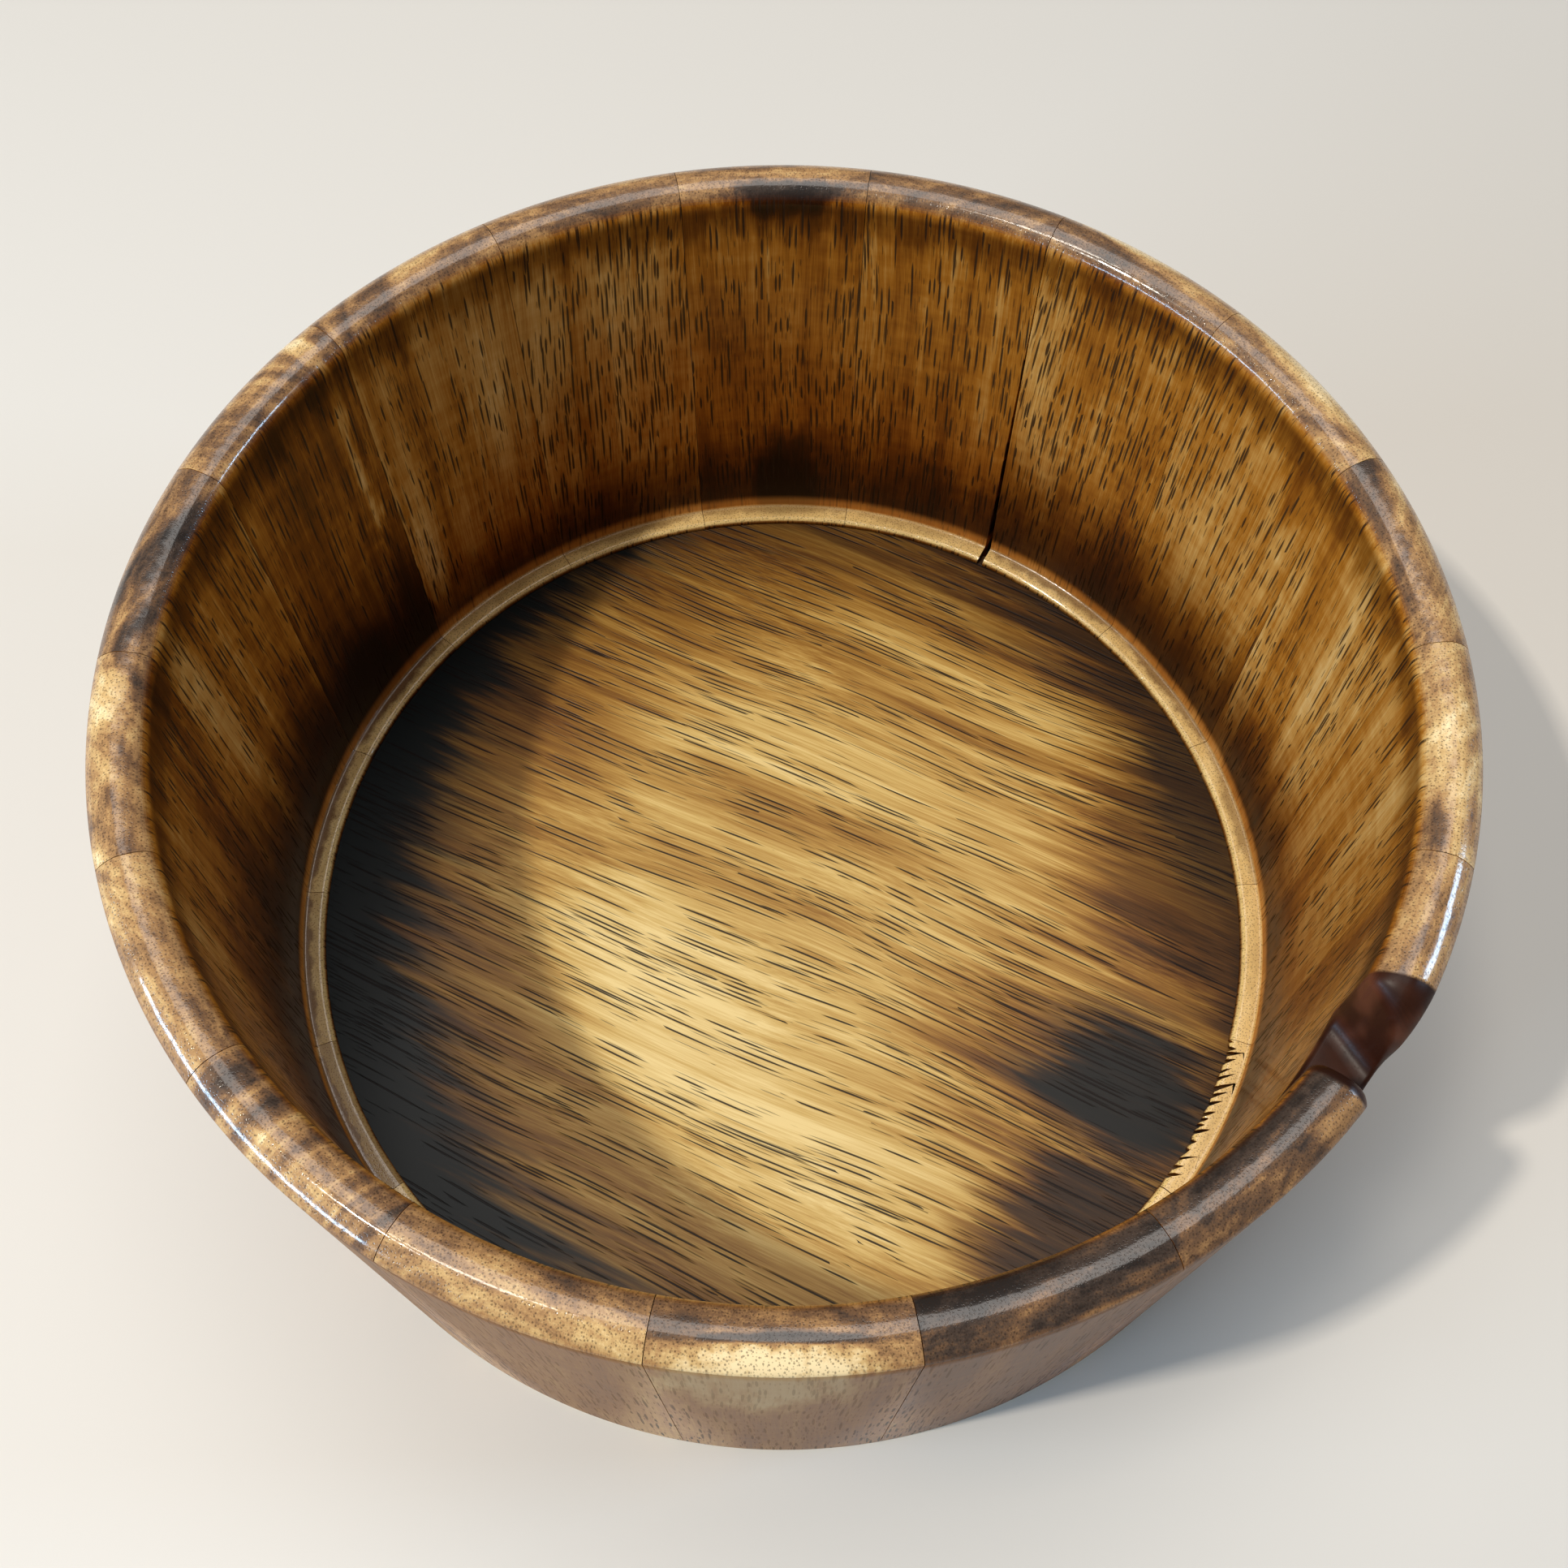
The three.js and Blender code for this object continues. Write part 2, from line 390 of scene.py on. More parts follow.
def build_stave(index, start, end):
    """One stave, from joint to joint, less half a glue line at each side."""
    first = place_of(start) + GLUE_LINE / 2
    last = place_of(end) - GLUE_LINE / 2
    pitch = FINE_PITCH if index == TORN_STAVE else COLUMN_PITCH
    points = np.array([column_points(c) for c in stave_columns(first, last, pitch)])
    if index == TORN_STAVE:
        points = tear_ring(points, random.Random(TEAR_SEED))
    if index in OPEN_JOINTS:
        points = open_joint(points, first, 1, OPEN_JOINTS[index])
    following = (index + 1) % len(STAVE_WIDTHS)
    if following in OPEN_JOINTS:
        points = open_joint(points, last, -1, OPEN_JOINTS[following])
    return stave_mesh(f"stave_wood_{index + 1:02d}", points)


def build_floor():
    """The floor board, very slightly uneven on top."""
    rings = np.concatenate([np.linspace(0, 106, 40)[1:], [108, 109.5, FLOOR_RADIUS]])
    around = 180
    angle = np.arange(around) * 2 * math.pi / around
    vertices = [(0, 0, FLOOR_HEIGHT)]
    for radius in rings:
        x, y = radius * np.cos(angle), radius * np.sin(angle)
        wave = 0.05 * np.sin(x / 17 + 1) * np.cos(y / 13) - 0.05
        wave *= np.clip((RING_RADIUS - radius) / 10, 0, 1)
        vertices.extend(zip(x, y, FLOOR_HEIGHT + wave))
    vertices.extend((FLOOR_RADIUS * math.cos(a), FLOOR_RADIUS * math.sin(a), 0) for a in angle)
    faces = [(0, 1 + k, 1 + (k + 1) % around) for k in range(around)]
    for ring in range(len(rings)):
        for k in range(around):
            here, beside = 1 + ring * around + k, 1 + ring * around + (k + 1) % around
            faces.append((here, here + around, beside + around, beside))
    last = 1 + len(rings) * around
    faces.append(tuple(range(last + around - 1, last - 1, -1)))
    return add_object("floor_board_wood", np.array(vertices, float), faces, 40)


# Materials

RELIEF = 0.12            # depth of a full step of relief, in millimetres
WOOD_SPECULAR = 0.12
STAVE_COAT_ROUGHNESS = 0.11
SECOND_PORES = (5.5, 3.5, 9.5)    # moves the finer vessels away from the bold ones


class Wood:
    """Short calls for one material's nodes. Lengths in the nodes are in millimetres."""

    def __init__(self, name):
        self.material = bpy.data.materials.new(name)
        self.material.use_nodes = True
        self.tree = self.material.node_tree
        self.tree.nodes.clear()

    def add(self, kind, **settings):
        node = self.tree.nodes.new(kind)
        for key, value in settings.items():
            setattr(node, key, value)
        return node

    def feed(self, socket, value):
        if isinstance(value, bpy.types.NodeSocket):
            self.tree.links.new(value, socket)
        else:
            socket.default_value = value

    def math(self, operation, first, second=0.0, third=0.0):
        node = self.add("ShaderNodeMath", operation=operation)
        self.feed(node.inputs[0], first)
        self.feed(node.inputs[1], second)
        self.feed(node.inputs[2], third)
        return node.outputs[0]

    def centred(self, noise, amount):
        """A noise brought to swing about zero, by half the amount each way at most."""
        return self.math("MULTIPLY_ADD", noise, amount, -amount / 2)

    def vector(self, operation, first, second=(0, 0, 0)):
        node = self.add("ShaderNodeVectorMath", operation=operation)
        self.feed(node.inputs[0], first)
        self.feed(node.inputs[1], second)
        return node.outputs["Value" if operation == "LENGTH" else "Vector"]

    def mapped(self, vector, location=(0, 0, 0), turn=0.0, scale=(1, 1, 1)):
        """Scales, then turns about Z, then moves."""
        node = self.add("ShaderNodeMapping", vector_type="POINT")
        self.feed(node.inputs["Vector"], vector)
        node.inputs["Location"].default_value = location
        node.inputs["Rotation"].default_value = (0, 0, turn)
        node.inputs["Scale"].default_value = scale
        return node.outputs[0]

    def noise(self, vector, scale, detail=2.0, roughness=0.5, output=0):
        """Noise with a stretch for each axis, in cycles per millimetre."""
        node = self.add("ShaderNodeTexNoise", noise_dimensions="3D")
        self.feed(node.inputs["Vector"], self.vector("MULTIPLY", vector, scale))
        node.inputs["Scale"].default_value = 1.0
        node.inputs["Detail"].default_value = detail
        node.inputs["Roughness"].default_value = roughness
        return node.outputs[output]

    def bands(self, distance, per_mm, detail, seed):
        """Bands of uneven width along a distance."""
        node = self.add("ShaderNodeTexNoise", noise_dimensions="1D")
        self.feed(node.inputs["W"], self.math("MULTIPLY_ADD", distance, per_mm, seed))
        node.inputs["Scale"].default_value = 1.0
        node.inputs["Detail"].default_value = detail
        node.inputs["Roughness"].default_value = 0.6
        return node.outputs[0]

    def smooth(self, value, low, high):
        """0 at low and 1 at high, smoothly. With low above high it falls."""
        node = self.add("ShaderNodeMapRange", interpolation_type="SMOOTHSTEP")
        self.feed(node.inputs[0], value)
        node.inputs[1].default_value = min(low, high)
        node.inputs[2].default_value = max(low, high)
        node.inputs[3].default_value = float(low > high)
        node.inputs[4].default_value = float(low < high)
        return node.outputs[0]

    def ramp(self, factor, stops):
        node = self.add("ShaderNodeValToRGB")
        self.feed(node.inputs[0], factor)
        elements = node.color_ramp.elements
        while len(elements) < len(stops):
            elements.new(0.5)
        for element, (place, colour) in zip(elements, stops):
            element.position = place
            element.color = (*colour, 1)
        return node.outputs[0]

    def mix(self, factor, first, second, blend="MIX"):
        node = self.add("ShaderNodeMix", data_type="RGBA", blend_type=blend)
        self.feed(node.inputs[0], factor)
        self.feed(node.inputs[6], first if not isinstance(first, tuple) else (*first, 1))
        self.feed(node.inputs[7], second if not isinstance(second, tuple) else (*second, 1))
        return node.outputs[2]

    def blend(self, factor, first, second):
        """Between two plain numbers."""
        node = self.add("ShaderNodeMix", data_type="FLOAT")
        self.feed(node.inputs[0], factor)
        self.feed(node.inputs[2], first)
        self.feed(node.inputs[3], second)
        return node.outputs[0]

    def split(self, vector):
        node = self.add("ShaderNodeSeparateXYZ")
        self.feed(node.inputs[0], vector)
        return node.outputs

    def dashes(self, point, axis, spacing, width, keep):
        """Vessels cut lengthwise: 1 inside one, 0 outside. They run along Z of the point
        and are counted across along the given axis. spacing is their mean distance each
        way, and keep, which may vary, is the share of places that hold one."""
        parts = self.split(point)
        flat = self.add("ShaderNodeCombineXYZ")
        self.feed(flat.inputs[0], self.math("DIVIDE", parts[axis], spacing[0]))
        self.feed(flat.inputs[1], self.math("DIVIDE", parts[2], spacing[1]))
        node = self.add("ShaderNodeTexVoronoi", voronoi_dimensions="2D")
        self.feed(node.inputs["Vector"], flat.outputs[0])
        node.inputs["Scale"].default_value = 1.0
        chance = self.split(node.outputs["Color"])
        away = self.split(self.vector("SUBTRACT", flat.outputs[0], node.outputs["Position"]))
        across = self.math("MULTIPLY", away[0], 2 * spacing[0] / width)
        half_length = self.math("MULTIPLY_ADD", chance[1], 0.40, 0.15)
        along = self.math("DIVIDE", away[1], half_length)
        outline = self.math("ADD", self.math("MULTIPLY", across, across),
                            self.math("MULTIPLY", along, along))
        kept = self.math("LESS_THAN", chance[0], keep)
        return self.math("MULTIPLY", self.smooth(outline, 1.5, 0.5), kept)

    def pits(self, point, per_mm, radius, keep):
        """Round pores seen end on: 1 inside one, 0 outside. keep is the share of places
        that hold one."""
        node = self.add("ShaderNodeTexVoronoi", voronoi_dimensions="2D")
        self.feed(node.inputs["Vector"], self.vector("MULTIPLY", point, (per_mm, per_mm, 1)))
        node.inputs["Scale"].default_value = 1.0
        reach = radius * per_mm
        dot = self.smooth(node.outputs["Distance"], 1.3 * reach, 0.7 * reach)
        kept = self.math("LESS_THAN", self.split(node.outputs["Color"])[0], keep)
        return self.math("MULTIPLY", dot, kept)

    def blotch(self, point, centre, reach, rough, core=0.5):
        """A soft-edged patch: 1 inside its core, 0 beyond its reach. rough is a noise."""
        away = self.vector("SUBTRACT", point, centre)
        scaled = self.vector("DIVIDE", away, reach)
        distance = self.math("ADD", self.vector("LENGTH", scaled), rough)
        return self.smooth(distance, 1.0, core)

    def finish(self, colour, roughness, relief, bump, coat, coat_roughness):
        """The shader of oiled wood under a gloss coat. relief is in shares of RELIEF."""
        shader = self.add("ShaderNodeBsdfPrincipled")
        self.feed(shader.inputs["Base Color"], colour)
        self.feed(shader.inputs["Roughness"], roughness)
        shader.inputs["Specular IOR Level"].default_value = WOOD_SPECULAR
        self.feed(shader.inputs["Coat Weight"], coat)
        self.feed(shader.inputs["Coat Roughness"], coat_roughness)
        node = self.add("ShaderNodeBump")
        self.feed(node.inputs["Height"], relief)
        node.inputs["Strength"].default_value = bump
        node.inputs["Distance"].default_value = RELIEF * MM
        self.tree.links.new(node.outputs[0], shader.inputs["Normal"])
        self.tree.links.new(node.outputs[0], shader.inputs["Coat Normal"])
        output = self.add("ShaderNodeOutputMaterial")
        self.tree.links.new(shader.outputs[0], output.inputs[0])
        return self.material


# Colours of the staves from dark to light: wood seen end on, and along the grain.

END_TONES = [
    (0.00, (0.016, 0.011, 0.009)),
    (0.20, (0.060, 0.038, 0.027)),
    (0.40, (0.165, 0.084, 0.040)),
    (0.60, (0.385, 0.208, 0.083)),
    (0.80, (0.600, 0.385, 0.160)),
    (1.00, (0.860, 0.660, 0.370)),
]
SIDE_TONES = [
    (0.00, (0.006, 0.002, 0.001)),
    (0.22, (0.052, 0.011, 0.001)),
    (0.40, (0.170, 0.044, 0.002)),
    (0.55, (0.335, 0.115, 0.009)),
    (0.70, (0.500, 0.245, 0.055)),
    (0.86, (0.660, 0.410, 0.150)),
    (1.00, (0.800, 0.580, 0.280)),
]
RING_COLOUR = (0.950, 0.760, 0.320)
RING_TONE = 0.78
# Colour of the ring's edge at the wall, darkened partly by scorch and partly by painted shade,
# and of painted shade all over some rings.
RING_SCORCH_AND_SHADE = (0.110, 0.040, 0.009)
FILLET_COLOUR = (0.620, 0.260, 0.050)
PORE_COLOUR = (0.020, 0.008, 0.003)
# Colour of scorch and of painted shade on the staves.
SCORCH_AND_SHADE_COLOUR = (0.016, 0.005, 0.001)
NOTCH_COLOUR = (0.034, 0.009, 0.004)
# The notch's lighter mottle is a painted sheen, and its darkest colour painted shade on its
# upward faces.
NOTCH_PAINTED_SHEEN = (0.100, 0.030, 0.014)
NOTCH_PAINTED_SHADE = (0.012, 0.003, 0.001)
# The outer wall's golden brown: partly its own colour and partly a painted reflection of a warm
# brown table.
OUTER_COLOUR_AND_TABLE_REFLECTION = (0.150, 0.058, 0.009)

# Staves whose ring is darkened all over with painted shade, by number, and how strongly.
RING_PAINTED_SHADE = {10: 0.15, 11: 0.25, 12: 0.40, 13: 0.62}

# One line for each stave: tone of the end grain, tone of the wall, band
# contrast, the pith's place through and across the wall in millimetres, band pitch, grain
# tilt, coarse vessels, height of the darkening above the ring (partly scorch and partly painted
# shade), and its strength.
STAVES = [
    (0.62, 0.48, 0.30, (-70, 20), 7.0, -0.02, 0.5, 16, 0.6),
    (0.72, 0.60, 0.45, (40, -22), 5.0, 0.01, 0.4, 12, 0.6),
    (0.52, 0.62, 0.42, (-46, 30), 5.0, 0.00, 0.4, 16, 0.8),
    (0.64, 0.64, 0.30, (-120, -60), 6.0, 0.03, 0.5, 22, 0.9),
    (0.58, 0.60, 0.30, (-150, 30), 7.0, 0.02, 1.0, 20, 0.9),
    (0.46, 0.53, 0.34, (-90, -70), 6.0, -0.02, 0.8, 14, 0.7),
    (0.56, 0.51, 0.40, (60, 10), 6.5, 0.00, 0.6, 14, 0.8),
    (0.54, 0.64, 0.32, (-110, 60), 7.0, 0.06, 1.0, 12, 0.8),
    (0.54, 0.60, 0.32, (-40, -90), 5.0, 0.01, 0.4, 8, 0.7),
    (0.52, 0.40, 0.38, (-60, 110), 4.0, 0.00, 0.4, 24, 1.0),
    (0.40, 0.56, 0.42, (-90, 40), 6.0, -0.02, 0.6, 22, 1.0),
    (0.62, 0.50, 0.34, (-60, -50), 5.0, 0.00, 0.5, 30, 1.0),
    (0.60, 0.50, 0.32, (80, 40), 6.0, 0.01, 0.5, 32, 1.0),
    (0.56, 0.56, 0.50, (10, 120), 4.0, 0.01, 0.5, 12, 0.8),
    (0.62, 0.58, 0.28, (-90, 20), 6.0, 0.00, 0.6, 10, 0.6),
    (0.52, 0.56, 0.34, (30, -14), 7.0, 0.00, 0.5, 10, 0.6),
    (0.20, 0.46, 0.30, (45, 25), 6.0, 0.01, 0.5, 10, 0.6),
    (0.31, 0.52, 0.36, (35, 18), 4.5, 0.02, 0.5, 10, 0.6),
]

# Patches in one stave: its number, where it lies and how far it reaches (degrees round
# the bowl, radius, height), the tone it turns to, and how strongly.
PATCHES = [
    (16, (-55, 123.4, 118), (11, 4.6, 60), 1.00, 1.0),
    (16, (-53, 119.4, 118), (9.5, 1.1, 60), 0.12, 1.0),
    (16, (-61, 117.0, 118), (2.4, 3.5, 90), 0.45, 0.6),
    (17, (-32, 116.0, 118), (11, 2.5, 90), 0.16, 0.8),
    (17, (-30, 124.5, 118), (8, 1.2, 50), 0.50, 0.8),
    (18, (-22.2, 119.0, 118), (1.2, 30.0, 90), 0.46, 0.6),
    (18, (-7.8, 122.5, 118), (3.2, 4.5, 30), 0.54, 0.9),
    (18, (-5.6, 116.5, 118), (2.4, 4.0, 30), 0.20, 0.8),
    (18, (-14, 115.5, 118), (9, 1.8, 90), 0.16, 0.9),
    (1, (11, 116.5, 118), (6.0, 3.0, 9), 0.84, 0.7),
    (2, (19.6, 115.5, 118), (2.6, 4.0, 14), 0.46, 0.7),
    (2, (26.0, 118.0, 118), (9.0, 5.0, 10), 0.92, 0.7),
    (2, (34.5, 123.0, 118), (5.0, 3.5, 20), 0.46, 0.8),
    (3, (53.0, 117.0, 118), (6.0, 3.5, 12), 0.36, 0.7),
    (8, (143.0, 117.0, 118), (6.0, 3.5, 12), 0.42, 0.6),
    (9, (163.0, 117.0, 118), (6.0, 3.5, 12), 0.40, 0.7),
    (3, (57.0, 118.0, 110), (3.0, 6.0, 14), 0.30, 0.8),
    (4, (60.5, 114.0, 105), (5.0, 3.0, 22), 0.30, 0.6),
    # The cream patches at the outer edge of staves 4 and 5 are painted highlight.
    (4, (70, 121.5, 118), (9.0, 3.5, 20), 0.94, 0.7),
    (5, (90, 123.0, 118), (6.0, 3.0, 20), 0.94, 0.8),
    # The dark patches low on the inner wall of staves 6, 7 and 10 are partly scorch and partly
    # painted shade.
    (7, (127, 114.5, 20), (5.5, 7.0, 30), 0.10, 1.0),
    (7, (127, 115.0, 118), (8.5, 3.6, 8), 0.14, 1.0),
    (6, (108, 114.0, 26), (4.0, 5.0, 22), 0.36, 0.7),
    (10, (181.2, 119.0, 100), (1.6, 9.0, 90), 0.92, 0.9),
    (10, (191, 114.0, 22), (8.0, 5.0, 24), 0.02, 1.0),
    (9, (177.6, 119.0, 80), (0.7, 9.0, 70), 0.78, 0.8),
    (12, (222, 120.0, 118), (4.0, 6.0, 16), 0.97, 0.9),
    (14, (259.4, 119.0, 110), (2.4, 9.0, 60), 0.30, 0.9),
]


def wood_point(wood, azimuth, offset):
    """Millimetres in a stave's own axes: X through the wall, Y across it, Z up the grain."""
    coordinates = wood.add("ShaderNodeTexCoord").outputs["Object"]
    place = wood.mapped(coordinates, (-MID_RADIUS, 0, 0), -azimuth, (1 / MM,) * 3)
    return place, wood.vector("ADD", place, offset)


def wavy(wood, point, reach, tilt=0.0):
    """The grain's own wander: a slow noise, and a lean across the stave."""
    drift = wood.noise(point, (0.02, 0.02, 0.009), 1.0, 0.5, output=1)
    drift = wood.vector("MULTIPLY", wood.vector("SUBTRACT", drift, (0.5,) * 3), (reach, reach, 0))
    height = wood.split(point)[2]
    lean = wood.add("ShaderNodeCombineXYZ")
    wood.feed(lean.inputs[1], wood.math("MULTIPLY", height, tilt))
    return wood.vector("ADD", wood.vector("ADD", point, drift), lean.outputs[0])


def stave_shade(wood, index, middle, place, grain, end_grain, on_ring):
    """Light and dark of one stave's wood, as a place on the colour ramps."""
    end_tone, side_tone, contrast, pith, pitch, tilt = STAVES[index][:6]
    tone = wood.blend(end_grain, side_tone, wood.blend(on_ring, end_tone, RING_TONE))
    ring_place = wood.vector("SUBTRACT", wavy(wood, place, 7.0, tilt), (*pith, 0))
    distance = wood.vector("LENGTH", wood.vector("MULTIPLY", ring_place, (1, 1, 0)))
    bands = wood.bands(distance, 1 / pitch, 3.0, 17.3 * index)
    flow = wood.noise(grain, (0.06, 0.06, 0.012), 2.0)
    ripple = wood.noise(grain, (0.05, 0.12, 0.30), 2.0)
    streak = wood.noise(grain, (0.55, 0.55, 0.014), 4.0, 0.7)
    fibre = wood.noise(grain, (2.8, 2.8, 0.06), 3.0, 0.7)
    mottle = wood.centred(wood.noise(grain, (0.50, 0.12, 0.1), 5.0, 0.65), 0.8)
    mottle = wood.math("MULTIPLY", mottle, end_grain)
    swing = wood.math("MULTIPLY_ADD", end_grain, 0.7 * contrast, 1.1 * contrast)
    shade = wood.math("MULTIPLY_ADD", wood.math("SUBTRACT", bands, 0.5), swing, tone)
    for source, amount in ((flow, 0.50), (ripple, 0.18), (streak, 0.38), (fibre, 0.34)):
        shade = wood.math("ADD", shade, wood.centred(source, amount))
    shade = wood.math("ADD", shade, mottle)

    rough = wood.centred(wood.noise(grain, (0.25, 0.25, 0.05), 3.0, 0.6), 1.1)
    for stave, centre, reach, patch_tone, strength in PATCHES:
        if stave != index + 1:
            continue
        turn = (centre[0] - middle + 180) % 360 - 180
        across = math.radians(turn) * centre[1]
        local = (centre[1] - MID_RADIUS, across, centre[2])
        size = (reach[1], math.radians(reach[0]) * centre[1], reach[2])
        mask = wood.blotch(place, local, size, rough, 0.4)
        own = wood.math("MULTIPLY_ADD", wood.math("SUBTRACT", shade, tone), 0.6, patch_tone)
        shade = wood.blend(wood.math("MULTIPLY", mask, strength), shade, own)
    return shade


def pore_roughness(wood, pores):
    """Roughness of bare wood, a little higher inside the pores."""
    return wood.math("MULTIPLY_ADD", pores, 0.25, 0.42)


def inner_scorch_and_shade(wood, index, place, rough):
    """Darkening low on the inner wall, partly scorch and partly painted shade, and a band of
    painted shade just under the rim.
    """
    reach, strength = STAVES[index][7:]
    through, _, height = wood.split(place)
    inside = wood.smooth(through, -2.0, -4.5)
    edge = wood.math("MULTIPLY_ADD", rough, -24.0, height)
    low = wood.smooth(edge, RING_HEIGHT + 2.2 * reach + 8, RING_HEIGHT + 4)
    low = wood.math("MULTIPLY", low, wood.smooth(height, RING_HEIGHT + 1, RING_HEIGHT + 5))
    # A band of painted shade just under the rim.
    under_rim_shade = wood.math("MULTIPLY", wood.smooth(edge, 102, 113),
                          wood.smooth(height, 116.5, 113.5))
    scorch_and_shade = wood.math("MAXIMUM", wood.math("MULTIPLY", low, strength),
                      wood.math("MULTIPLY", under_rim_shade, 0.5))
    return wood.math("MULTIPLY", scorch_and_shade, inside)


def notch_mask(wood):
    """1 on the surfaces of the notch, 0 on the rim and the walls beside it."""
    coordinates = wood.add("ShaderNodeTexCoord").outputs["Object"]
    x, y, z = wood.split(wood.mapped(coordinates, scale=(1 / MM,) * 3))
    beyond_far = wood.math("SUBTRACT", y, wood.math("MULTIPLY_ADD", x, 0.33, -27.6))
    beyond_near = wood.math("SUBTRACT", -11.2, y)
    beyond = wood.math("MAXIMUM", beyond_far, beyond_near)
    low = wood.smooth(z, NOTCH_FLOOR - 2.0, NOTCH_FLOOR - 0.8)
    return wood.math("MULTIPLY", wood.smooth(beyond, 0.5, -0.4), low)


def stave_masks(wood, index, place, grain):
    """Where each kind of surface of one stave lies, as masks, and the place they rest on."""
    facing = wood.split(wood.add("ShaderNodeNewGeometry").outputs["True Normal"])[2]
    end_grain = wood.smooth(wood.math("ABSOLUTE", facing), 0.25, 0.8)
    through, _, height = wood.split(place)
    not_end = wood.math("SUBTRACT", 1.0, end_grain)
    low = wood.smooth(height, RING_HEIGHT + 6, RING_HEIGHT + 3)
    rough = wood.centred(wood.noise(grain, (0.25, 0.25, 0.05), 3.0, 0.6), 0.8)
    return {
        "through": through,
        "height": height,
        "rough": rough,
        "end_grain": end_grain,
        "outside": wood.math("MULTIPLY", wood.smooth(through, 2.0, 4.0), not_end),
        "on_ring": wood.math("MULTIPLY", end_grain, low),
        "scorch_and_shade": inner_scorch_and_shade(wood, index, place, rough),
    }


def bare_colour(wood, shade, at):
    """Colour of a stave's wood along the grain and end on, before pores and stains."""
    # Painted shade on the inner side of the rim: the end grain there is darker, and a little
    # lighter elsewhere.
    inner_rim_shade = wood.math("MULTIPLY", wood.smooth(at["through"], 2.5, -3.0),
                          wood.smooth(at["height"], 60, 80))
    end_shade = wood.math("ADD", shade, wood.math("MULTIPLY_ADD", inner_rim_shade, -0.13, 0.03))
    end_colour = wood.ramp(end_shade, END_TONES)
    ring = wood.mix(0.62, end_colour, RING_COLOUR)
    end_colour = wood.mix(at["on_ring"], end_colour, ring)
    # The outer wall is a little darker and mixed toward golden brown, partly its own colour and
    # partly a painted reflection of a warm brown table.
    side_shade = wood.math("MULTIPLY_ADD", at["outside"], -0.04, shade)
    # The wall darkens where scorch and painted shade lie low on the inner wall and under the rim.
    side_shade = wood.math("MULTIPLY_ADD", at["scorch_and_shade"], -0.26, side_shade)
    side_colour = wood.ramp(side_shade, SIDE_TONES)
    side_colour = wood.mix(wood.math("MULTIPLY", at["outside"], 0.60), side_colour, OUTER_COLOUR_AND_TABLE_REFLECTION)
    return wood.mix(at["end_grain"], side_colour, end_colour)


def stave_pores(wood, index, texture, grain, at):
    """Vessels along the walls and round pores on the end grain: 1 inside one, 0 outside."""
    coarse = STAVES[index][6]
    crowd = wood.centred(wood.noise(texture, (0.12, 0.12, 0.02), 2.0), 2.2)
    other = wood.vector("ADD", grain, SECOND_PORES)
    bold_share = wood.math("ADD", crowd, 0.12 + 0.7 * coarse)
    bold = wood.dashes(grain, 1, (1.4, 12.0), 0.50, bold_share)
    fine = wood.dashes(other, 1, (0.9, 6.0), 0.26, wood.math("ADD", crowd, 0.55))
    vessels = wood.math("MAXIMUM", bold, wood.math("MULTIPLY", fine, 0.6))
    fainter = wood.math("MULTIPLY_ADD", at["outside"], -0.7, 1.0)
    vessels = wood.math("MULTIPLY", vessels, fainter)
    large = wood.pits(grain, 1.25, 0.15, 0.85)
    small = wood.math("MULTIPLY", wood.pits(other, 1.9, 0.10, 0.7), 0.7)
    pits = wood.math("MULTIPLY", wood.math("MAXIMUM", large, small), 0.62)
    return wood.blend(at["end_grain"], vessels, pits)


def ring_stains_and_shade(wood, index, colour, at):
    """The ring's warm fillet, its edge at the wall darkened partly by scorch and partly by
    painted shade, painted shade all over some rings, and a painted shadow line at the seam with
    the board.
    """
    through, height, on_ring = at["through"], at["height"], at["on_ring"]
    on_fillet = wood.math("MULTIPLY", wood.smooth(height, RING_HEIGHT + 4.5, RING_HEIGHT + 1.5),
                          wood.smooth(through, -3.0, -5.0))
    above_ring = wood.smooth(height, RING_HEIGHT - 0.5, RING_HEIGHT + 0.5)
    on_fillet = wood.math("MULTIPLY", on_fillet, above_ring)
    colour = wood.mix(wood.math("MULTIPLY", on_fillet, 0.45), colour, FILLET_COLOUR)
    # The ring's edge at the wall darkens with scorch and painted shade, and some rings carry
    # painted shade all over.
    toward_wall = wood.math("MULTIPLY_ADD", at["rough"], 5.0, through)
    edge = wood.math("MULTIPLY", wood.smooth(toward_wall, -10.4, -8.2), on_ring)
    edge = wood.math("MULTIPLY", edge, 1.9 * STAVES[index][8] - 1.0)
    painted_shade_all_over = wood.math("MULTIPLY", on_ring, RING_PAINTED_SHADE.get(index + 1, 0.0))
    colour = wood.mix(wood.math("MAXIMUM", edge, painted_shade_all_over), colour, RING_SCORCH_AND_SHADE)
    # A painted shadow line at the seam where the ring meets the board.
    seam_shadow = wood.math("MULTIPLY", wood.smooth(height, RING_HEIGHT - 0.3, RING_HEIGHT - 1.5),
                     wood.smooth(through, -7.0, -10.0))
    return wood.mix(wood.math("MULTIPLY", seam_shadow, 0.75), colour, SCORCH_AND_SHADE_COLOUR)


def stave_coat(wood, at):
    """How much of the gloss coat each place of a stave carries."""
    coat = wood.blend(at["end_grain"], 0.32, 0.85)
    coat = wood.math("MULTIPLY_ADD", at["outside"], -0.30, coat)
    coat = wood.math("MULTIPLY_ADD", at["scorch_and_shade"], -0.5, coat)
    return wood.math("MAXIMUM", coat, 0.05)


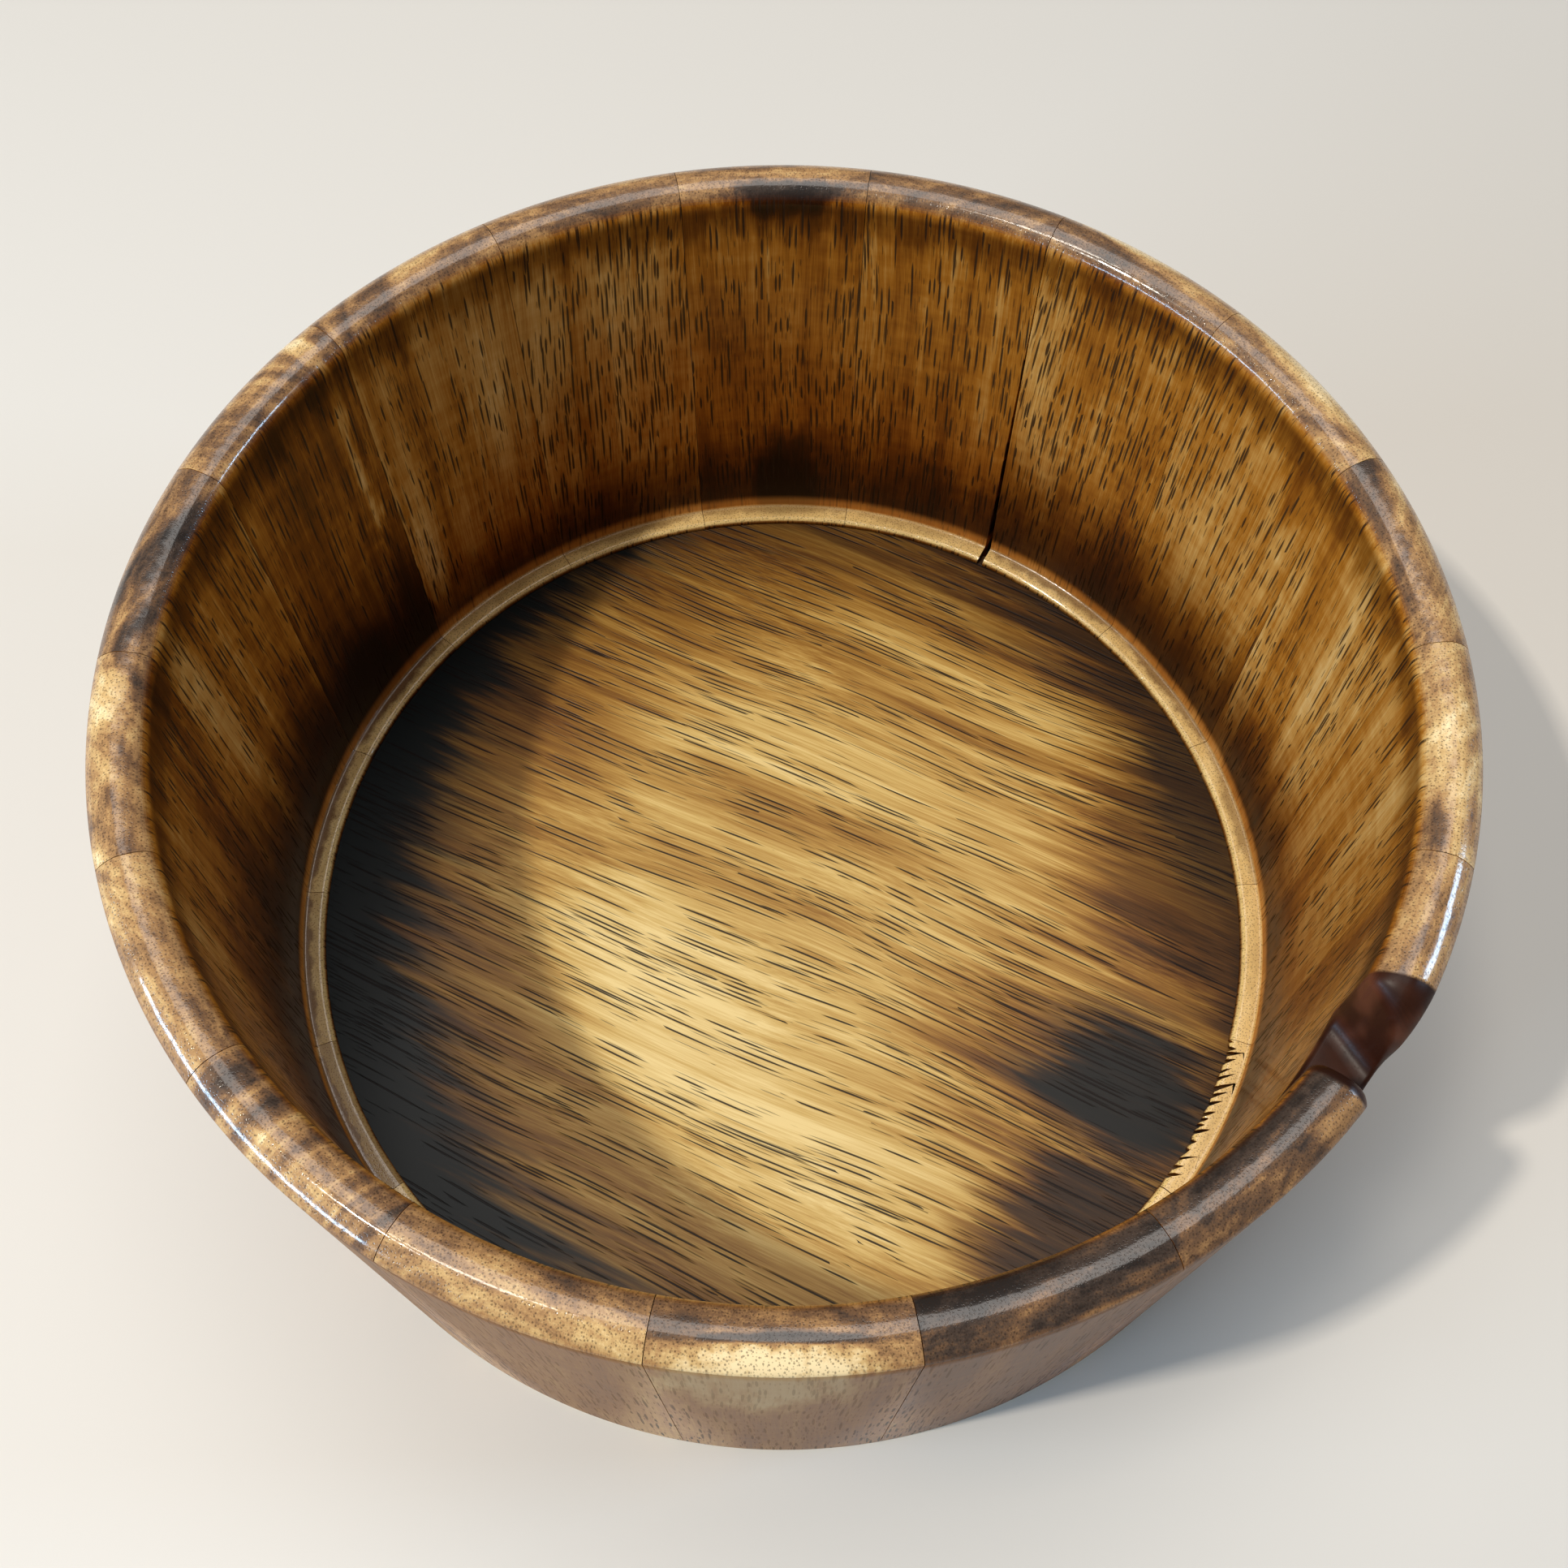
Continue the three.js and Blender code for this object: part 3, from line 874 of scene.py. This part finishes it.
def stave_relief(wood, texture, pores, at):
    """Sunken pores, shallower on the end grain, and the slow unevenness of the surface."""
    sunk = wood.math("MULTIPLY", pores, wood.math("MULTIPLY_ADD", at["end_grain"], 0.7, -1.0))
    uneven = wood.math("MULTIPLY", wood.noise(texture, (0.2, 0.2, 0.1)), 1.6)
    return wood.math("ADD", sunk, uneven)


def notch_with_painted_sheen_and_shade(wood, grain, at, look):
    """The same look with the notch's dark, smooth and nearly uncoated surfaces laid over, mottled
    with a painted sheen and darkened with painted shade on their upward faces.
    """
    in_notch = notch_mask(wood)
    # A painted sheen mottles the notch, and painted shade darkens its upward faces.
    painted_sheen = wood.smooth(wood.noise(grain, (0.12, 0.12, 0.06), 2.0), 0.45, 0.65)
    notch_colour_with_painted_light = wood.mix(painted_sheen, NOTCH_COLOUR, NOTCH_PAINTED_SHEEN)
    notch_colour_with_painted_light = wood.mix(wood.math("MULTIPLY", at["end_grain"], 0.75), notch_colour_with_painted_light, NOTCH_PAINTED_SHADE)
    less_coat = wood.math("MULTIPLY_ADD", in_notch, -0.9, 1.0)
    return {
        **look,
        "colour": wood.mix(in_notch, look["colour"], notch_colour_with_painted_light),
        "relief": wood.math("MULTIPLY", look["relief"], wood.math("SUBTRACT", 1.0, in_notch)),
        "coat": wood.math("MULTIPLY", look["coat"], less_coat),
        "coat_roughness": wood.math("MULTIPLY_ADD", in_notch, 0.22, look["coat_roughness"]),
    }


def stave_material(index, middle):
    """Upright grain for one stave, with its own tone, rings, vessels, patches and stain."""
    wood = Wood(f"stave_grain_{index + 1:02d}")
    offset = (37.0 * index, 91.0 * index, 53.0 * index)
    place, texture = wood_point(wood, math.radians(middle), offset)
    grain = wavy(wood, texture, 6.0, STAVES[index][5])
    at = stave_masks(wood, index, place, grain)
    shade = stave_shade(wood, index, middle, place, grain, at["end_grain"], at["on_ring"])
    pores = stave_pores(wood, index, texture, grain, at)
    colour = bare_colour(wood, shade, at)
    colour = wood.mix(wood.math("MULTIPLY", pores, 0.93), colour, PORE_COLOUR)
    # Scorch and painted shade laid over the inner wall.
    colour = wood.mix(wood.math("MULTIPLY", at["scorch_and_shade"], 0.85), colour, SCORCH_AND_SHADE_COLOUR)
    look = {
        "colour": ring_stains_and_shade(wood, index, colour, at),
        "roughness": pore_roughness(wood, pores),
        "relief": stave_relief(wood, texture, pores, at),
        "bump": 0.5,
        "coat": stave_coat(wood, at),
        "coat_roughness": STAVE_COAT_ROUGHNESS,
    }
    if index in NOTCHED_STAVES:
        look = notch_with_painted_sheen_and_shade(wood, grain, at, look)
    return wood.finish(**look)


# The floor board: its grain's turn in degrees, the pith's place across and up, and how
# wide its growth bands are. Then its colours from dark to light.
FLOOR_GRAIN = 11.3
FLOOR_PITH = (14, -46, 0)
FLOOR_BAND_PITCH = 13.0
FLOOR_TONES = [
    (0.00, (0.030, 0.013, 0.004)),
    (0.25, (0.150, 0.060, 0.011)),
    (0.45, (0.285, 0.140, 0.024)),
    (0.62, (0.440, 0.260, 0.062)),
    (0.80, (0.620, 0.440, 0.150)),
    (1.00, (0.800, 0.640, 0.300)),
]

# Colours of the darkest parts of the board: partly scorch, partly painted shadow, and in the
# grey-green partly painted reflection.
SCORCH_AND_SHADOW_BROWN = (0.036, 0.015, 0.004)
SCORCH_AND_REFLECTION_GREEN = (0.006, 0.009, 0.010)
BOARD_PORE_COLOUR = (0.008, 0.005, 0.005)

# Dark edges of the floor board, partly scorch and partly painted shadow of the rim, each left by
# a clear round: its centre and the radii where the dark begins and where it is full, the
# strength, and how brown (0) or grey-green (1); the grey-green is partly a painted reflection.
SHADOW_AND_SCORCH_EDGES = [
    ((20, 0), 58, 125, 0.70, 0.0),
    ((34, 6), 68, 118, 0.66, 0.0),
    ((22, 22), 94, 128, 0.90, 0.2),
    ((-8, -22), 102, 130, 0.85, 0.5),
    ((22, 22), 103, 127, 1.00, 1.0),
]

# Patches of painted light on the floor board: centre, reach, turn, and how much lighter.
PAINTED_LIGHT_PATCHES = [
    ((12, -44), (95, 26), -14, 0.16),
    ((-30, 26), (60, 20), 12, 0.08),
]

# Scorched patches of the floor board: centre and reach in millimetres along X and Y,
# turn in degrees, strength, and how brown (0) or grey-green (1) the dark is.
SCORCH = [
    ((-88, 50), (34, 60), -34, 0.70, 0.0),
    ((70, 64), (54, 38), -45, 0.80, 0.0),
    ((66, 80), (50, 17), -40, 0.85, 0.7),
    ((84, 36), (30, 26), 10, 0.50, 0.1),
    ((82, 8), (50, 44), 8, 0.58, 0.0),
    ((90, 8), (34, 27), 8, 0.98, 0.9),
    ((98, -22), (26, 44), -14, 0.90, 0.5),
    ((-62, -34), (40, 26), 20, 0.45, 0.0),
    ((24, -94), (50, 14), 12, 0.45, 0.2),
    ((-44, 60), (60, 8), 10, 0.40, 0.0),
    ((10, 62), (60, 5), 14, 0.40, 0.0),
    ((-10, 22), (70, 6), 11, 0.30, 0.0),
]


def floor_patch(wood, plain, centre, reach, turn, rough):
    """A soft-edged oval on the board, its long way turned by some degrees."""
    angle = math.radians(turn)
    back = (
        -centre[0] * math.cos(angle) - centre[1] * math.sin(angle),
        centre[0] * math.sin(angle) - centre[1] * math.cos(angle),
        0,
    )
    local = wood.mapped(plain, back, -angle)
    return wood.blotch(local, (0, 0, FLOOR_HEIGHT), (*reach, 40), rough, 0.3)


def floor_darkness(wood, plain, rough):
    """Masks of the browned parts of the board, partly scorch and partly painted shadow, and of
    the grey-green parts, partly scorch and partly painted reflection.
    """
    brown, green = 0.0, 0.0

    def laid(mask, strength, greenness):
        mask = wood.math("MULTIPLY", mask, strength)
        return (wood.math("MAXIMUM", brown, mask),
                wood.math("MAXIMUM", green, wood.math("MULTIPLY", mask, greenness)))

    for centre, begin, full, strength, greenness in SHADOW_AND_SCORCH_EDGES:
        away = wood.vector("LENGTH", wood.vector("SUBTRACT", plain, (*centre, FLOOR_HEIGHT)))
        distance = wood.math("MULTIPLY_ADD", rough, 34.0, away)
        brown, green = laid(wood.smooth(distance, begin, full), strength, greenness)
    for centre, reach, turn, strength, greenness in SCORCH:
        mask = floor_patch(wood, plain, centre, reach, turn, rough)
        brown, green = laid(mask, strength, greenness)
    return brown, green


def board_pores(wood, grain):
    """Long dark vessels of the board: 1 inside one, 0 outside."""
    crowd = wood.centred(wood.noise(grain, (0.12, 0.12, 0.008), 2.0), 2.6)
    other = wood.vector("ADD", grain, SECOND_PORES)
    bold = wood.dashes(grain, 0, (1.35, 24.0), 0.42, wood.math("ADD", crowd, 0.58))
    fine = wood.dashes(other, 0, (0.8, 13.0), 0.24, wood.math("ADD", crowd, 0.45))
    return wood.math("MAXIMUM", bold, wood.math("MULTIPLY", fine, 0.6))


def board_point(wood, coordinates):
    """Millimetres in the board's own axes: X across the grain, Y up, Z along the grain."""
    turned = wood.mapped(coordinates, turn=-math.radians(FLOOR_GRAIN), scale=(1 / MM,) * 3)
    along, across, up = wood.split(turned)
    upright = wood.add("ShaderNodeCombineXYZ")
    for socket, value in zip(upright.inputs, (across, up, along)):
        wood.feed(socket, value)
    return upright.outputs[0]


def floor_material():
    """One flat-sawn board: long wandering grain, dark vessels, edges darkened partly by scorch
    and partly by painted shadow, and patches of painted light.
    """
    wood = Wood("floor_grain")
    coordinates = wood.add("ShaderNodeTexCoord").outputs["Object"]
    plain = wood.mapped(coordinates, scale=(1 / MM,) * 3)
    point = board_point(wood, coordinates)
    grain = wavy(wood, point, 11.0)

    ring_place = wood.vector("SUBTRACT", wavy(wood, point, 24.0), FLOOR_PITH)
    distance = wood.vector("LENGTH", wood.vector("MULTIPLY", ring_place, (1, 1, 0)))
    bands = wood.bands(distance, 1 / FLOOR_BAND_PITCH, 3.0, 4.2)
    broad = wood.noise(grain, (0.045, 0.045, 0.009), 2.0)
    streak = wood.noise(grain, (0.40, 0.40, 0.010), 5.0, 0.7)
    fibre = wood.noise(grain, (2.4, 2.4, 0.04), 3.0, 0.7)
    shade = 0.70
    for source, amount in ((bands, 0.66), (broad, 0.66), (streak, 0.76), (fibre, 0.56)):
        shade = wood.math("ADD", wood.centred(source, amount), shade)
    rough = wood.centred(wood.noise(point, (0.26, 0.26, 0.014), 4.0, 0.65), 1.1)
    rough = wood.math("ADD", rough, wood.centred(streak, 0.5))

    brown, green = floor_darkness(wood, plain, rough)
    # Painted light brightens these patches of the board.
    for centre, reach, turn, amount in PAINTED_LIGHT_PATCHES:
        mask = floor_patch(wood, plain, centre, reach, turn, rough)
        shade = wood.math("MULTIPLY_ADD", mask, amount, shade)
    # Darken toward brown and grey-green where scorch and painted shadow lie.
    shade = wood.math("MULTIPLY_ADD", brown, -0.55, shade)
    colour = wood.ramp(shade, FLOOR_TONES)
    deep = wood.math("MULTIPLY", wood.smooth(brown, 0.55, 1.0), 0.7)
    colour = wood.mix(deep, colour, SCORCH_AND_SHADOW_BROWN)
    colour = wood.mix(green, colour, SCORCH_AND_REFLECTION_GREEN)
    pores = board_pores(wood, grain)
    colour = wood.mix(wood.math("MULTIPLY", pores, 0.94), colour, BOARD_PORE_COLOUR)
    relief = wood.math("MULTIPLY", pores, -1.0)
    return wood.finish(colour, pore_roughness(wood, pores), relief, 0.45, 0.10, 0.24)


# Assembly

def dress(piece, material, node):
    piece.data.materials.append(material)
    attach(piece, "root")
    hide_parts(node)


def build_bowl():
    start = FIRST_JOINT
    for index, width in enumerate(STAVE_WIDTHS):
        node = f"stave_{index + 1:02d}"
        piece = build_stave(index, start, start + width)
        dress(piece, stave_material(index, start + width / 2), node)
        start += width
        if start > 180:
            start -= 360
    dress(build_floor(), floor_material(), "floor_board")


# Studio: pale floor, soft lights, and the photograph's viewpoint

def add_table():
    mesh = bpy.data.meshes.new("studio_floor")
    reach = 3.0
    corners = [(-reach, -reach, 0), (reach, -reach, 0), (reach, reach, 0), (-reach, reach, 0)]
    mesh.from_pydata(corners, [], [(0, 1, 2, 3)])
    table = bpy.data.objects.new("studio_floor", mesh)
    bpy.context.scene.collection.objects.link(table)
    material = bpy.data.materials.new("studio_floor")
    material.use_nodes = True
    shader = material.node_tree.nodes["Principled BSDF"]
    shader.inputs["Base Color"].default_value = (0.62, 0.58, 0.53, 1)
    shader.inputs["Roughness"].default_value = 0.6
    mesh.materials.append(material)


def add_light(name, azimuth, elevation, distance, size, power, colour):
    """A soft rectangular light that faces the middle of the bowl."""
    light = bpy.data.lights.new(name, "AREA")
    light.shape = "RECTANGLE"
    light.size, light.size_y = size
    light.energy = power
    light.color = colour
    lamp = bpy.data.objects.new(name, light)
    bpy.context.scene.collection.objects.link(lamp)
    around, up = math.radians(azimuth), math.radians(elevation)
    towards = Vector((
        math.cos(up) * math.cos(around),
        math.cos(up) * math.sin(around),
        math.sin(up),
    ))
    target = Vector((0, 0, 0.06))
    lamp.location = target + distance * towards
    lamp.rotation_euler = (-towards).to_track_quat("-Z", "Y").to_euler()


def add_lights():
    warm, white, cool = (1.0, 0.93, 0.82), (1.0, 0.97, 0.93), (0.50, 0.74, 1.0)
    add_light("key", -120, 59, 1.6, (0.06, 0.06), 15, warm)
    add_light("second", -129, 74, 1.8, (0.25, 0.25), 5, warm)
    add_light("ceiling", 129, 75, 1.9, (1.2, 0.9), 14, white)
    add_light("window_left", -120, 20, 1.7, (1.10, 0.18), 24, cool)
    add_light("window_right", 40, 24, 1.8, (0.40, 0.26), 10, cool)
    world = bpy.data.worlds.new("studio")
    world.use_nodes = True
    background = world.node_tree.nodes["Background"]
    background.inputs[0].default_value = (0.80, 0.76, 0.70, 1)
    background.inputs[1].default_value = 0.20
    bpy.context.scene.world = world


def add_camera():
    """The photograph's viewpoint, from a fit to the circles of the rim, ring and foot."""
    camera = bpy.data.cameras.new("photo_view")
    camera.sensor_width = 36.0
    camera.lens = 38.385
    camera.clip_start = 0.01
    view = bpy.data.objects.new("photo_view", camera)
    bpy.context.scene.collection.objects.link(view)
    heading, pitch, roll = math.radians(126.8), math.radians(-62.446), math.radians(0.4277)
    forward = Vector((
        math.cos(pitch) * math.cos(heading),
        math.cos(pitch) * math.sin(heading),
        math.sin(pitch),
    ))
    level = forward.cross(Vector((0, 0, 1))).normalized()
    right = level * math.cos(roll) + level.cross(forward) * math.sin(roll)
    up = right.cross(forward)
    view.location = Vector((96.4, -128.9, 374.8)) * MM
    matrix = view.matrix_world.to_3x3()
    matrix.col[0], matrix.col[1], matrix.col[2] = right, up, -forward
    view.rotation_euler = matrix.to_euler()
    bpy.context.scene.camera = view


add_camera()
add_lights()
add_table()
build_bowl()
bpy.context.scene.view_settings.view_transform = "Standard"
